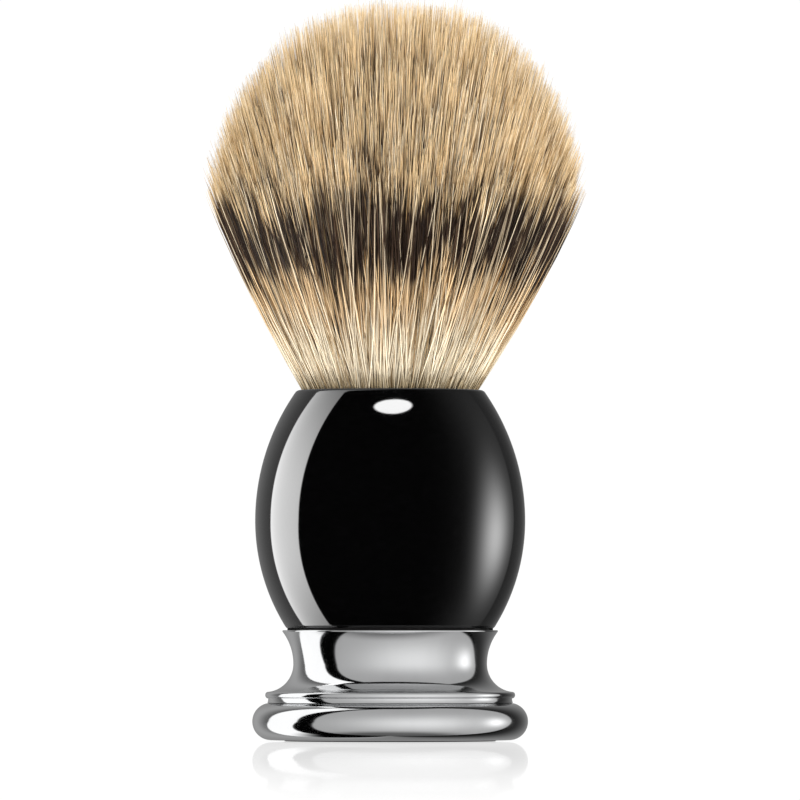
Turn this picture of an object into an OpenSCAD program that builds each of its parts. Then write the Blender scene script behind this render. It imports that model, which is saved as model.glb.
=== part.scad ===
// Shaving brush: a tuft of banded hair set in a turned black handle, which is
// screwed down onto a chromed, weighted base.
// The brush stands on z = 0 with its axis on Z. All sizes are in millimetres.

/* [Tuft] */
// Diameter of the hair where it leaves the handle
knot_d = 25.4; // [23:0.1:25.6]
// Length of the hair above the handle's mouth
loft = 55.2; // [50:0.2:60]
// Widest diameter of the domed crown
crown_d = 52.6; // [46:0.2:56]
// Radius gained by the tuft's side for each millimetre of height
side_flare = 0.515; // [0.44:0.005:0.56]
// Largest angle that the tuft bends to either side, in degrees
bend_limit = 22; // [12:1:24]
// Gap between the bending hair and the hair that is held
bend_gap = 0.4; // [0.3:0.05:0.8]

/* [Handle] */
// Widest diameter of the handle
handle_d = 38.5; // [36:0.1:42]
// Height of the handle
handle_h = 33.9; // [32:0.1:37]
// Height of the widest line above the handle's lower edge
belly_h = 15.3; // [14:0.1:17]
// Diameter that the side's curve narrows to at the mouth
rim_d = 26.4; // [26.3:0.1:28]
// Diameter that the side's curve narrows to at the lower edge
handle_foot_d = 29.6; // [29:0.1:30]
// Depth of the socket that holds the knot
socket_depth = 14; // [12:0.5:15]

/* [Base] */
// Widest diameter of the rounded foot
foot_d = 39.3; // [38:0.1:44]
// Height of the rounded foot
foot_h = 5.3; // [5:0.1:6.5]
// Outer diameter of the step between foot and collar
step_d = 35; // [33:0.1:36]
// Height of the step
step_h = 1.05; // [0.8:0.05:1.6]
// Diameter of the collar's waist
waist_d = 27.6; // [27:0.1:29]
// Radius of the hollow curve below the waist
waist_curve = 4; // [3.8:0.05:4.2]
// Height of the collar
collar_h = 9.3; // [8.6:0.1:10.5]
// Outer diameter of the collar's top lip
lip_d = 30.7; // [30.2:0.1:31.4]
// Height that the soft pad lifts the metal off the surface
pad_lift = 0.15; // [0.1:0.05:0.5]

/* [Fastening] */
// Thread diameter of the stud that holds the base to the handle
stud_d = 6; // [5:0.5:6]
// Thread pitch
stud_pitch = 1; // [0.8:0.1:1.25]
// Outer diameter of the threaded insert
insert_d = 9; // [8.6:0.1:10]

/* [Hidden] */
// Facets of round shapes
smooth = 120;
// A length that is longer than the whole brush, for cutting shapes
beyond = 200;

// Radius of an arc that rises by one length while it swings sideways by the other
function arc_radius(rise, swing) = (rise * rise + swing * swing) / (2 * swing);

// Heights of the joints in the stack, from the surface upward
foot_top = pad_lift + foot_h;
step_top = foot_top + step_h;
collar_top = step_top + collar_h;
seal_t = 0.3;
handle_foot = collar_top + seal_t;
mouth_z = handle_foot + handle_h;
belly_z = handle_foot + belly_h;
socket_z = mouth_z - socket_depth;

// Socket and knot
socket_r = knot_d / 2 + 0.05;
root_r = knot_d / 2 - 0.2;
glue_t = 0.8;
cup_wall = 0.6;
cup_floor = 0.7;
cup_h = 6;
cup_r = socket_r - 0.2;
cup_z = socket_z + glue_t;
plug_h = 4.6;
plug_z = cup_z + cup_floor;
thread_d = 0.8;
thread_turns = 3;
thread_z = cup_z + cup_h + 0.6;
neck_r = cup_r - cup_wall - 0.1;

// Curves of the handle's side, and the small round that ends the upper one at the rim
upper_curve = arc_radius(handle_h - belly_h, (handle_d - rim_d) / 2);
lower_curve = arc_radius(belly_h, (handle_d - handle_foot_d) / 2);
rim_r = 0.3;
rim_rise = handle_h - rim_r - belly_h;
rim_mid_r = handle_d / 2 - upper_curve + sqrt(pow(upper_curve - rim_r, 2) - pow(rim_rise, 2));
rim_join_z = belly_z + rim_rise * upper_curve / (upper_curve - rim_r);

// Crown of the tuft
crown_r = crown_d / 2;
crown_z = mouth_z + loft - crown_r;
// Lowest angle of the bending hair above the mouth's plane, at rest
clear_angle = bend_limit + 2;

// Rounded foot and what is bored in it
foot_curve = foot_h / 2;
foot_mid_r = foot_d / 2 - foot_curve;
foot_mid_z = pad_lift + foot_curve;
recess_r = 15.4;
recess_top = 1.8;
weight_bore_r = 13.9;
clamp_lip_t = 1.05;
core_r = 12.1;

// Collar
web_t = 2.5;
spigot_r = 9;
spigot_h = 1.4;
lip_t = 0.5;
waist_r = waist_d / 2;
lip_r = lip_d / 2;
waist_z = step_top + lip_t + waist_curve;
// Radius of the hollow curve above the waist, which runs up to the lip
upper_waist_curve = arc_radius(collar_top - lip_t - waist_z, lip_r - waist_r);

// Stud, nut and washers
stud_r = stud_d / 2 - 0.05;
stud_hole_r = stud_d / 2 + 0.2;
cover_t = 0.8;
nut_z = recess_top + 0.2;
nut_t = 3.2;
nut_flats = stud_d * 5 / 3;
spring_t = 1.4;
flat_t = 1;
spring_z = nut_z + nut_t;
flat_z = spring_z + spring_t;
counterbore_top = flat_z + flat_t;
counterbore_r = 6.8;
insert_z = handle_foot + spigot_h + 0.1;
insert_h = 12;
bore_top = insert_z + insert_h + 1;
stud_top = insert_z + insert_h - 1;
knurl_grooves = 24;

// A solid of revolution about Z
module turned() {
    rotate_extrude($fn = smooth) children();
}

// A flat ring or disc between two heights
module ring(inner, outer, low, high) {
    turned() translate([inner, low]) square([outer - inner, high - low]);
}

// The part of a turned outline that lies between two heights
module band(low, high) {
    intersection() {
        translate([0, low]) square([beyond, high - low]);
        children();
    }
}

// A rod whose ridges stand for a screw thread, between two heights
module ridged_rod(crest, pitch, low, high) {
    depth = 0.3;
    turns = floor((high - low) / pitch);
    top = low + turns * pitch;
    teeth = [
        for (turn = [0 : turns - 1])
            each [[crest - depth, low + turn * pitch], [crest, low + (turn + 0.5) * pitch]]
    ];
    turned() polygon(concat([[0, low]], teeth, [[crest - depth, top], [0, top]]));
}

// Free hair: a flared side under a domed crown, hollowed below to clear the
// held root and the handle's rim when it bends
module hair_tuft() {
    color("burlywood") turned() difference() {
        intersection() {
            union() {
                translate([0, crown_z]) circle(r = crown_r, $fn = smooth);
                square([crown_r, crown_z]);
            }
            polygon([
                [0, mouth_z],
                [knot_d / 2, mouth_z],
                [knot_d / 2 + side_flare * loft, mouth_z + loft],
                [0, mouth_z + loft]
            ]);
        }
        translate([0, mouth_z]) circle(r = root_r + bend_gap, $fn = smooth);
        polygon([
            [0, mouth_z - 1],
            [0, mouth_z],
            [beyond, mouth_z + beyond * tan(clear_angle)],
            [beyond, mouth_z - 1]
        ]);
    }
}

// Held hair: the bundle that stands in the socket and ends in a ball under the free hair
module hair_root() {
    color("tan") turned() {
        intersection() {
            translate([0, mouth_z]) circle(r = root_r, $fn = smooth);
            translate([0, mouth_z]) square([beyond, root_r + 1]);
        }
        polygon([
            [0, plug_z + plug_h],
            [neck_r, plug_z + plug_h],
            [neck_r, thread_z + thread_turns * thread_d],
            [root_r, thread_z + thread_turns * thread_d + 1.5],
            [root_r, mouth_z],
            [0, mouth_z]
        ]);
    }
}

// Hard resin that the ends of the hairs are set in
module knot_plug() {
    color("goldenrod") ring(0, neck_r, plug_z, plug_z + plug_h);
}

// Thin cup that the knot is cast in
module knot_cup() {
    color("ivory") difference() {
        ring(0, cup_r, cup_z, cup_z + cup_h);
        ring(0, cup_r - cup_wall, cup_z + cup_floor, cup_z + cup_h + 1);
    }
}

// Waxed thread wound round the bundle above the cup
module binding_thread() {
    color("linen") turned()
        for (turn = [0 : thread_turns - 1])
            translate([neck_r + thread_d / 2, thread_z + (turn + 0.5) * thread_d])
                circle(d = thread_d - 0.02, $fn = 24);
}

// Glue between the knot and the floor of the socket
module glue_bed() {
    color("khaki") ring(0, socket_r, socket_z, cup_z);
}

// Barrel-shaped handle with the knot's socket above and the insert's bore below
module handle() {
    color([0.02, 0.02, 0.02]) difference() {
        turned() {
            band(belly_z, rim_join_z)
                translate([handle_d / 2 - upper_curve, belly_z])
                    circle(r = upper_curve, $fn = smooth);
            band(handle_foot, belly_z)
                translate([handle_d / 2 - lower_curve, belly_z])
                    circle(r = lower_curve, $fn = smooth);
            translate([0, belly_z]) square([rim_mid_r, handle_h - belly_h]);
            translate([rim_mid_r, mouth_z - rim_r]) circle(r = rim_r, $fn = 48);
        }
        ring(0, socket_r, socket_z, beyond);
        ring(0, insert_d / 2, handle_foot, bore_top);
        ring(0, spigot_r + 0.1, handle_foot - 1, insert_z);
    }
}

// Knurled brass bush pressed into the handle, which the stud screws into
module threaded_insert() {
    groove_w = 0.5;
    groove_depth = 0.25;
    plain_h = 1.5;
    color("goldenrod") difference() {
        ring(0, insert_d / 2, insert_z, insert_z + insert_h);
        translate([0, 0, insert_z - 1])
            cylinder(d = stud_d + 0.1, h = insert_h + 2, $fn = smooth);
        for (step = [0 : knurl_grooves - 1])
            rotate([0, 0, step * 360 / knurl_grooves])
                translate([insert_d / 2 - groove_depth, -groove_w / 2, insert_z + plain_h])
                    cube([1, groove_w, insert_h - 2 * plain_h]);
    }
}

// Thin black gasket that keeps water out of the seam between handle and collar
module seam_seal() {
    color([0.1, 0.1, 0.1]) ring(spigot_r, lip_r - 0.7, collar_top, handle_foot);
}

// Waisted collar: hollow below, with a web and a spigot that centres the handle
module collar() {
    color("silver") difference() {
        turned() {
            difference() {
                translate([0, step_top]) square([lip_r + 4, collar_h]);
                band(waist_z, collar_top - lip_t)
                    translate([waist_r + upper_waist_curve, waist_z])
                        circle(r = upper_waist_curve, $fn = smooth);
                band(step_top + lip_t, waist_z)
                    translate([waist_r + waist_curve, waist_z])
                        circle(r = waist_curve, $fn = smooth);
                translate([waist_r + waist_curve, step_top]) square([beyond, collar_h]);
                translate([lip_r, waist_z]) square([beyond, collar_h]);
            }
            translate([0, step_top]) square([spigot_r, collar_h + seal_t + spigot_h]);
        }
        translate([0, 0, step_top - 1])
            cylinder(r = core_r, h = collar_h - web_t + 1, $fn = smooth);
        translate([0, 0, step_top])
            cylinder(r = stud_hole_r, h = beyond, $fn = smooth);
    }
}

// Narrow step between collar and foot, with a shallow hollow round its edge
module step_ring() {
    hollow = 0.12;
    hollow_curve = arc_radius(step_h / 2, hollow);
    color("silver") turned() difference() {
        translate([core_r, foot_top]) square([step_d / 2 - core_r, step_h]);
        translate([step_d / 2 - hollow + hollow_curve, foot_top + step_h / 2])
            circle(r = hollow_curve, $fn = smooth);
    }
}

// Rounded foot, bored in steps for the weight, the cover and the pad
module foot_ring() {
    color("silver") difference() {
        turned() {
            translate([0, pad_lift]) square([foot_mid_r, foot_h]);
            translate([foot_mid_r, foot_mid_z]) circle(r = foot_curve, $fn = smooth);
        }
        ring(0, recess_r, pad_lift - 1, recess_top);
        ring(0, weight_bore_r, recess_top - 1, foot_top - clamp_lip_t);
        ring(0, core_r, recess_top, foot_top + 1);
    }
}

// Iron weight that fills the base and clamps foot, step and collar together
module base_weight() {
    play = 0.1;
    color("dimgray") difference() {
        union() {
            ring(0, weight_bore_r - play, recess_top + play, foot_top - clamp_lip_t);
            ring(0, core_r - play, foot_top - clamp_lip_t, collar_top - web_t - play);
        }
        cylinder(r = counterbore_r, h = counterbore_top, $fn = smooth);
        cylinder(r = stud_hole_r, h = beyond, $fn = smooth);
    }
}

// Stud that runs from the nut, through the weight and collar, into the insert
module clamp_stud() {
    plain_low = counterbore_top;
    plain_high = insert_z;
    color("lightsteelblue") {
        ridged_rod(stud_r, stud_pitch, nut_z, plain_low);
        ring(0, stud_r - 0.25, plain_low - stud_pitch, plain_high + stud_pitch);
        ridged_rod(stud_r, stud_pitch, plain_high, stud_top);
    }
}

// Flat washer under the weight's shoulder
module flat_washer() {
    color("gainsboro") ring(stud_hole_r, stud_d, flat_z, counterbore_top);
}

// Split spring washer between the flat washer and the nut
module spring_washer() {
    slit = 0.7;
    lean = 30;
    color("slategray") difference() {
        ring(stud_hole_r, stud_d * 0.9, spring_z, flat_z);
        translate([0, 0, (spring_z + flat_z) / 2])
            rotate([lean, 0, 0]) translate([0, -slit / 2, -spring_t * 2])
                cube([stud_d, slit, spring_t * 4]);
    }
}

// Hexagon nut with its corners turned off
module stud_nut() {
    corner_r = nut_flats / sqrt(3);
    color("lightsteelblue") difference() {
        intersection() {
            translate([0, 0, nut_z]) cylinder(r = corner_r, h = nut_t, $fn = 6);
            turned() polygon([
                [0, nut_z],
                [nut_flats / 2, nut_z],
                [corner_r + 0.1, nut_z + 0.5],
                [corner_r + 0.1, nut_z + nut_t - 0.5],
                [nut_flats / 2, nut_z + nut_t],
                [0, nut_z + nut_t]
            ]);
        }
        translate([0, 0, nut_z - 1]) cylinder(d = stud_d, h = nut_t + 2, $fn = smooth);
    }
}

// Steel disc that closes the underside
module base_cover() {
    color("gray") ring(0, recess_r - 0.05, recess_top - cover_t, recess_top);
}

// Soft pad that the brush stands on, glued to the cover
module base_pad() {
    edge_r = 0.3;
    pad_r = recess_r - 0.2;
    color([0.12, 0.12, 0.12]) turned() {
        square([pad_r - edge_r, recess_top - cover_t]);
        translate([0, edge_r]) square([pad_r, recess_top - cover_t - edge_r]);
        translate([pad_r - edge_r, edge_r]) circle(r = edge_r, $fn = 32);
    }
}

hair_tuft();
hair_root();
knot_plug();
knot_cup();
binding_thread();
glue_bed();
handle();
threaded_insert();
seam_seal();
collar();
step_ring();
foot_ring();
base_weight();
clamp_stud();
flat_washer();
spring_washer();
stud_nut();
base_cover();
base_pad();
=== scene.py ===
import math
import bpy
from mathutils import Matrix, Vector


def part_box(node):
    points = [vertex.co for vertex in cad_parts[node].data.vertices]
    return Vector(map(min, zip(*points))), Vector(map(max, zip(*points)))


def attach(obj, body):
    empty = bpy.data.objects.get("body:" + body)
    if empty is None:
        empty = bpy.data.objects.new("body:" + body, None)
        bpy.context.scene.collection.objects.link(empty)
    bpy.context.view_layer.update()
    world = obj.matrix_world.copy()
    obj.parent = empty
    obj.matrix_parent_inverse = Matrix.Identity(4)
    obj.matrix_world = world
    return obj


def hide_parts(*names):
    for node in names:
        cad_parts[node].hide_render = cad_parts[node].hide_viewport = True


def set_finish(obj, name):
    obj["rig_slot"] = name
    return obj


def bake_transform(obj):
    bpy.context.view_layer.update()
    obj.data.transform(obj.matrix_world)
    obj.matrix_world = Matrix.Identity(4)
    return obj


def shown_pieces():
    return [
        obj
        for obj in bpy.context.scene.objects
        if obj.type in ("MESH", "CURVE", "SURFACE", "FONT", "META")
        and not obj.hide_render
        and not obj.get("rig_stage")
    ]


bl_info = {
    "name": "Shaving Brush",
    "version": (1, 0, 0),
    "blender": (4, 5, 0),
    "location": "View3D > Sidebar > Brush",
    "description": "Builds a shaving brush with banded hair, a black handle and a chromed base",
    "category": "Object",
}

import bmesh
import bpy
import numpy as np
from bpy.props import FloatProperty, FloatVectorProperty, IntProperty, PointerProperty
from mathutils import Vector

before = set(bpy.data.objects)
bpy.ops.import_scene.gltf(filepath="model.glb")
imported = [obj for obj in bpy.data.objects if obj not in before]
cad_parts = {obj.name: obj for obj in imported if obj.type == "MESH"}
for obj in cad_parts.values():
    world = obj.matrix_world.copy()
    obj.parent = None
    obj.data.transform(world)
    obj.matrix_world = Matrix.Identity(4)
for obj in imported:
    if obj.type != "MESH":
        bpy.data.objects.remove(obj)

MM = 0.001
HANDLE_BODY = "handle_and_base"


# ---- measures from the frame


def top_of(node):
    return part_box(node)[1].z


def foot_of(node):
    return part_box(node)[0].z


def radius_of(node):
    low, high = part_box(node)
    return (high.y - low.y) / 2


MOUTH_Z = top_of("handle")
HANDLE_FOOT = foot_of("handle")
HANDLE_R = radius_of("handle")
CROWN_TOP = top_of("hair_tuft")
CROWN_R = radius_of("hair_tuft")
CROWN_Z = CROWN_TOP - CROWN_R
SOCKET_R = radius_of("glue_bed")
SOCKET_Z = foot_of("glue_bed")
WEIGHT_R = radius_of("base_weight")
# Radius to which the base's rings reach inward over the weight
CORE_R = WEIGHT_R - 0.0017
# Radius of the bore in the handle's foot, and of the collar's spigot that fills it
BORE_R = SOCKET_R * 0.71
SPIGOT_R = SOCKET_R * 0.706
# Small bevel of a turned edge, and clearance between fitted pieces
FINE_EDGE = 0.00012
FIT = 0.00005


# ---- settings


def length(name, text, default, low, high):
    limits = {"min": low, "max": high, "precision": 5}
    return FloatProperty(
        name=name, description=text, default=default, subtype="DISTANCE", unit="LENGTH", **limits
    )


def share(name, text, default):
    return FloatProperty(
        name=name, description=text, default=default, min=0.0, max=1.0, subtype="FACTOR"
    )


def strength(name, text, default):
    return FloatProperty(name=name, description=text, default=default, min=0.0)


def paint(name, text, default):
    return FloatVectorProperty(
        name=name, description=text, default=default, min=0.0, max=1.0, size=3, subtype="COLOR"
    )


def number(name, text, default, low, high):
    return IntProperty(name=name, description=text, default=default, min=low, max=high)


class TuftSettings(bpy.types.PropertyGroup):
    hairs: number("Hairs", "Number of hairs in the whole tuft", 16000, 2000, 16384)
    locks: number("Locks", "Number of locks that the hairs' tips gather in", 1100, 100, 3000)
    seed: number("Seed", "Seed of every random choice", 7, 0, 9999)
    thickness: length("Thickness", "Diameter of a hair at its thickest", 0.00016, 0.00005, 0.0003)
    tip_thickness: length("Tip Thickness", "Diameter of a hair's tip", 0.00003, 0.00001, 0.0001)
    unevenness: length("Unevenness", "How far the tips stray from the dome", 0.0009, 0.0, 0.004)
    gathering: share("Gathering", "How far a lock draws its tips together", 0.42)
    crossing: length("Crossing", "How far a hair's tip strays sideways", 0.0013, 0.0, 0.004)
    bulge: length("Bulge", "How far the outer hairs bow outward", 0.0008, 0.0, 0.005)
    lean: length("Lean", "How far the crown leans to the right", 0.0014, -0.003, 0.003)
    tip_length: length("Pale Tip", "Length of the pale tip of a hair in the core", 0.0054, 0.001, 0.02)
    rim_tip_length: length("Outer Pale Tip", "Length of an outer hair's pale tip", 0.0021, 0.0, 0.02)
    band_foot: length("Band Foot", "Height at which the dark band starts", 0.0651, 0.05, 0.09)
    pale_share: share("Pale Hairs", "Share of the hairs that stay pale through the band", 0.21)
    tip_colour: paint("Tip", "Colour of the tips", (0.81, 0.60, 0.335))
    band_colour: paint("Band", "Colour of the dark band", (0.026, 0.014, 0.010))
    brown_colour: paint("Brown", "Colour of the lightest hairs in the band", (0.062, 0.034, 0.018))
    core_colour: paint("Core", "Colour of the hair deep in the tuft", (0.10, 0.058, 0.028))
    tan_colour: paint("Tan", "Colour under the band", (0.74, 0.53, 0.30))
    cream_colour: paint("Cream", "Colour of the lower hair", (0.95, 0.84, 0.64))
    # Painted shade: the root colour darkens the hair just above the mouth, where the overhanging tuft
    # shades it
    root_shade_colour: paint("Root", "Colour where the hair leaves the handle", (0.38, 0.30, 0.18))
    roughness: share("Roughness", "Roughness of a hair's surface", 0.42)


class HandleSettings(bpy.types.PropertyGroup):
    mouth_radius: length("Mouth Radius", "Radius of the side at the mouth", 0.0133, 0.012, 0.018)
    foot_radius: length("Foot Radius", "Radius of the lower edge", 0.0148, 0.012, 0.018)
    belly_height: length("Belly Height", "Height of the widest line", 0.0153, 0.01, 0.02)
    edge_round: length("Edge Round", "Radius of the mouth's edge", 0.0008, 0.0001, 0.001)
    colour: paint("Resin", "Colour of the cast resin", (0.0012, 0.0012, 0.0013))
    roughness: share("Roughness", "Roughness of the polished resin", 0.035)


class BaseSettings(bpy.types.PropertyGroup):
    waist_radius: length("Waist Radius", "Radius of the collar's waist", 0.0138, 0.012, 0.016)
    lower_curve: length("Lower Curve", "Radius of the curve under the waist", 0.004, 0.003, 0.005)
    lip: length("Lip", "Height of the collar's upright edges", 0.0005, 0.0002, 0.001)
    top_lip: length("Top Lip", "Height of the collar's upper edge", 0.0002, 0.0001, 0.0006)
    hollow: length("Step Hollow", "Depth of the hollow round the step", 0.00012, 0.0, 0.0003)
    edge_round: length("Edge Round", "Radius of the metal's edges", 0.00012, 0.00002, 0.0004)
    flare_drop: length("Flare Drop", "How far the flare's rim hangs over the step", 0.0004, 0.0, 0.0006)
    flare_round: length("Flare Round", "Radius of the flare's rim", 0.0004, 0.00002, 0.0005)
    chrome_colour: paint("Chrome", "Colour of the plating", (0.66, 0.665, 0.67))
    chrome_roughness: share("Roughness", "Roughness of the plating", 0.07)
    rubber_colour: paint("Rubber", "Colour of the seal and the pad", (0.012, 0.012, 0.012))


class CoreSettings(bpy.types.PropertyGroup):
    brass_colour: paint("Brass", "Colour of the threaded insert", (0.70, 0.47, 0.16))
    iron_colour: paint("Iron", "Colour of the cast weight", (0.10, 0.10, 0.105))
    steel_colour: paint("Steel", "Colour of the stud, nut and washers", (0.52, 0.53, 0.55))
    resin_colour: paint("Knot Resin", "Colour of the resin and glue", (0.62, 0.38, 0.12))
    cup_colour: paint("Cup", "Colour of the knot's cup", (0.74, 0.70, 0.58))
    thread_colour: paint("Thread", "Colour of the waxed thread", (0.66, 0.56, 0.38))


class StageSettings(bpy.types.PropertyGroup):
    floor_colour: paint("Floor", "Colour of the floor", (0.95, 0.95, 0.95))
    floor_gloss: share("Floor Gloss", "Share of mirror gloss in the floor", 0.3)
    floor_glow: share("Floor Glow", "Share of the floor's light that is its own", 0.87)
    daylight: strength("Daylight", "Strength of the even light from all sides", 1.04)
    key: strength("Key", "Strength of the soft lights on the hair", 1.0)
    strips: strength("Panels", "Strength of the panels that the gloss mirrors", 1.0)
    camera_distance: length("Camera Distance", "Distance from the axis to the camera", 1.6, 0.5, 5.0)
    camera_height: length("Camera Height", "Height of the camera above the floor", 0.015, 0.001, 1.0)
    camera_side: length("Camera Side", "How far right of the axis the camera looks", 0.0014, -0.1, 0.1)
    aim_height: length("Aim Height", "Height that the camera looks at", 0.0486, 0.0, 0.2)
    view_width: length("View Width", "Width of what the camera sees at the axis", 0.114, 0.05, 0.5)


# ---- node helpers


class Shader:
    """A material's node tree round one Principled shader."""

    def __init__(self, name):
        self.material = bpy.data.materials.new(name)
        self.material.use_nodes = True
        self.tree = self.material.node_tree
        self.tree.nodes.clear()
        self.output = self.node("OutputMaterial")
        self.surface = self.node("BsdfPrincipled")
        self.join(self.surface.outputs[0], self.output.inputs["Surface"])

    def node(self, kind):
        return self.tree.nodes.new("ShaderNode" + kind)

    def times(self, first, second):
        return self.maths("MULTIPLY", first, second)

    def join(self, start, end):
        self.tree.links.new(start, end)

    def give(self, socket, value):
        """Sets a socket to a number or a colour, or joins it to another node."""
        if isinstance(value, bpy.types.NodeSocket):
            self.join(value, socket)
        elif isinstance(value, (int, float)):
            socket.default_value = value
        else:
            socket.default_value = (*value, 1.0)

    def set(self, **values):
        for socket, value in values.items():
            self.surface.inputs[socket.replace("_", " ")].default_value = value

    def feed(self, socket, source):
        self.join(source, self.surface.inputs[socket])

    def place(self):
        return self.node("TexCoord").outputs["Object"]

    def scaled(self, source, scale):
        node = self.node("Mapping")
        node.inputs["Scale"].default_value = scale
        self.join(source, node.inputs["Vector"])
        return node.outputs["Vector"]

    def noise(self, vector, scale, detail=3.0, roughness=0.55):
        node = self.node("TexNoise")
        node.inputs["Scale"].default_value = scale
        node.inputs["Detail"].default_value = detail
        node.inputs["Roughness"].default_value = roughness
        self.join(vector, node.inputs["Vector"])
        return node.outputs["Fac"]

    def attribute(self, name):
        node = self.node("Attribute")
        node.attribute_name = name
        return node.outputs["Fac"]

    def maths(self, kind, first, second=0.0, third=0.0):
        node = self.node("Math")
        node.operation = kind
        for socket, value in zip(node.inputs, (first, second, third)):
            self.give(socket, value)
        return node.outputs[0]

    def ranged(self, source, low, high, to_low=0.0, to_high=1.0, smooth=True):
        node = self.node("MapRange")
        if smooth:
            node.interpolation_type = "SMOOTHSTEP"
        names = ("From Min", "From Max", "To Min", "To Max")
        for name, value in zip(names, (low, high, to_low, to_high)):
            self.give(node.inputs[name], value)
        self.join(source, node.inputs["Value"])
        return node.outputs["Result"]

    def mixed(self, factor, first, second, kind="MIX"):
        node = self.node("Mix")
        node.data_type = "RGBA"
        node.blend_type = kind
        sockets = (node.inputs[0], node.inputs[6], node.inputs[7])
        for socket, value in zip(sockets, (factor, first, second)):
            self.give(socket, value)
        return node.outputs[2]

    def bump(self, height, strength, distance):
        node = self.node("Bump")
        node.inputs["Strength"].default_value = strength
        node.inputs["Distance"].default_value = distance
        self.join(height, node.inputs["Height"])
        self.feed("Normal", node.outputs["Normal"])


# ---- materials


# What the darker hairs' colours are multiplied by
WARM = (0.94, 0.72, 0.45)


def hair_material(look):
    """Banded hair: every point knows its height, its distance from the tip and its hair's own tone."""
    s = Shader("Hair")
    height = s.attribute("height")
    shift = s.attribute("shift")
    from_tip = s.attribute("from_tip")
    tip_end = s.attribute("tip_end")
    tone = s.attribute("tone")
    pale = s.attribute("pale")
    depth = s.attribute("depth")
    level = s.maths("ADD", height, shift)
    band_foot = look.band_foot
    # Painted shade: the hair fades up from the dark root colour over the first 3 mm above the mouth,
    # where the tuft shades it
    above_root_shade = s.ranged(height, MOUTH_Z + 0.0004, MOUTH_Z + 0.0034)
    lower = s.mixed(above_root_shade, look.root_shade_colour, look.cream_colour)
    near_band = s.ranged(level, MOUTH_Z + 0.0065, band_foot - 0.003)
    lower = s.mixed(near_band, lower, look.tan_colour)
    tip_start = s.maths("SUBTRACT", tip_end, 0.0012)
    tip_stop = s.maths("ADD", tip_end, 0.0016)
    below_tip = s.ranged(from_tip, tip_start, tip_stop)
    dark = s.mixed(s.ranged(tone, 0.45, 1.0), look.band_colour, look.brown_colour)
    dark = s.mixed(depth, dark, look.core_colour)
    in_band = s.ranged(level, band_foot - 0.0009, band_foot + 0.0018)
    streak = s.ranged(pale, 0.0, 1.0, 1.0, 0.06, smooth=False)
    dark_share = s.times(s.times(in_band, below_tip), streak)
    above = s.mixed(below_tip, look.tip_colour, look.tan_colour)
    body = s.mixed(s.ranged(level, band_foot - 0.001, band_foot + 0.001), lower, above)
    # Pale hairs are whitest in the crown and calmer from the band down
    calm = s.times(pale, below_tip)
    paleness = s.maths("MULTIPLY_ADD", calm, -0.35, s.times(pale, 0.95))
    body = s.mixed(paleness, body, look.cream_colour)
    banded = s.mixed(dark_share, body, dark)
    warm = s.mixed(s.ranged(tone, 0.0, 0.55, 1.0, 0.0), banded, WARM, "MULTIPLY")
    bright = s.maths("MULTIPLY_ADD", tone, 0.80, 0.48)
    bright = s.maths("MULTIPLY_ADD", calm, -0.13, bright)
    grey = s.node("CombineColor")
    for socket in grey.inputs[:3]:
        s.join(bright, socket)
    s.feed("Base Color", s.mixed(1.0, warm, grey.outputs[0], "MULTIPLY"))
    s.set(Roughness=look.roughness, Specular_IOR_Level=0.35, IOR=1.5)
    return s.material


def resin_material(look):
    """Polished cast resin with faint polishing haze and light wear near its edges."""
    s = Shader("Black_Resin")
    place = s.place()
    cloud = s.noise(place, 90.0, 4.0)
    fine = s.noise(s.scaled(place, (1.0, 1.0, 6.0)), 700.0, 5.0, 0.7)
    height = s.node("SeparateXYZ")
    s.join(place, height.inputs[0])
    rim = s.ranged(height.outputs["Z"], MOUTH_Z - 0.0009, MOUTH_Z - 0.0001)
    foot = s.ranged(height.outputs["Z"], HANDLE_FOOT, HANDLE_FOOT + 0.0009, 1.0, 0.0)
    wear = s.times(s.maths("MAXIMUM", rim, foot), fine)
    rough = s.maths("MULTIPLY_ADD", cloud, 0.03, look.roughness - 0.012)
    s.feed("Roughness", s.maths("MULTIPLY_ADD", wear, 0.14, rough))
    pale = tuple(min(1.0, c * 2.6 + 0.001) for c in look.colour)
    s.feed("Base Color", s.mixed(s.ranged(fine, 0.45, 0.8), look.colour, pale))
    s.bump(fine, 0.02, 0.00002)
    s.set(IOR=1.5)
    return s.material


def chrome_material(look):
    """Bright plating with faint smears and a trace of the polisher's fine lines."""
    s = Shader("Chrome")
    place = s.place()
    smear = s.noise(s.scaled(place, (1.0, 1.0, 0.35)), 120.0, 4.0, 0.6)
    lines = s.noise(s.scaled(place, (1.0, 1.0, 60.0)), 160.0, 2.0, 0.5)
    rough = s.maths("MULTIPLY_ADD", smear, 0.05, look.chrome_roughness - 0.025)
    s.feed("Roughness", s.maths("MULTIPLY_ADD", lines, 0.02, rough))
    dull = tuple(c * 0.93 for c in look.chrome_colour)
    s.feed("Base Color", s.mixed(s.ranged(smear, 0.4, 0.8), look.chrome_colour, dull))
    s.bump(lines, 0.025, 0.00002)
    s.set(Metallic=1.0)
    return s.material


def rubber_material(look):
    """Soft black rubber with a fine grain and dust in its pores."""
    s = Shader("Black_Rubber")
    place = s.place()
    grain = s.noise(place, 2600.0, 4.0, 0.7)
    dust = s.noise(place, 420.0, 5.0, 0.65)
    dusty = tuple(c * 3.0 + 0.012 for c in look.rubber_colour)
    s.feed("Base Color", s.mixed(s.ranged(dust, 0.5, 0.78), look.rubber_colour, dusty))
    s.feed("Roughness", s.ranged(grain, 0.2, 0.8, 0.62, 0.82, smooth=False))
    s.bump(grain, 0.35, 0.00006)
    s.set(Specular_IOR_Level=0.4)
    return s.material


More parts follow.
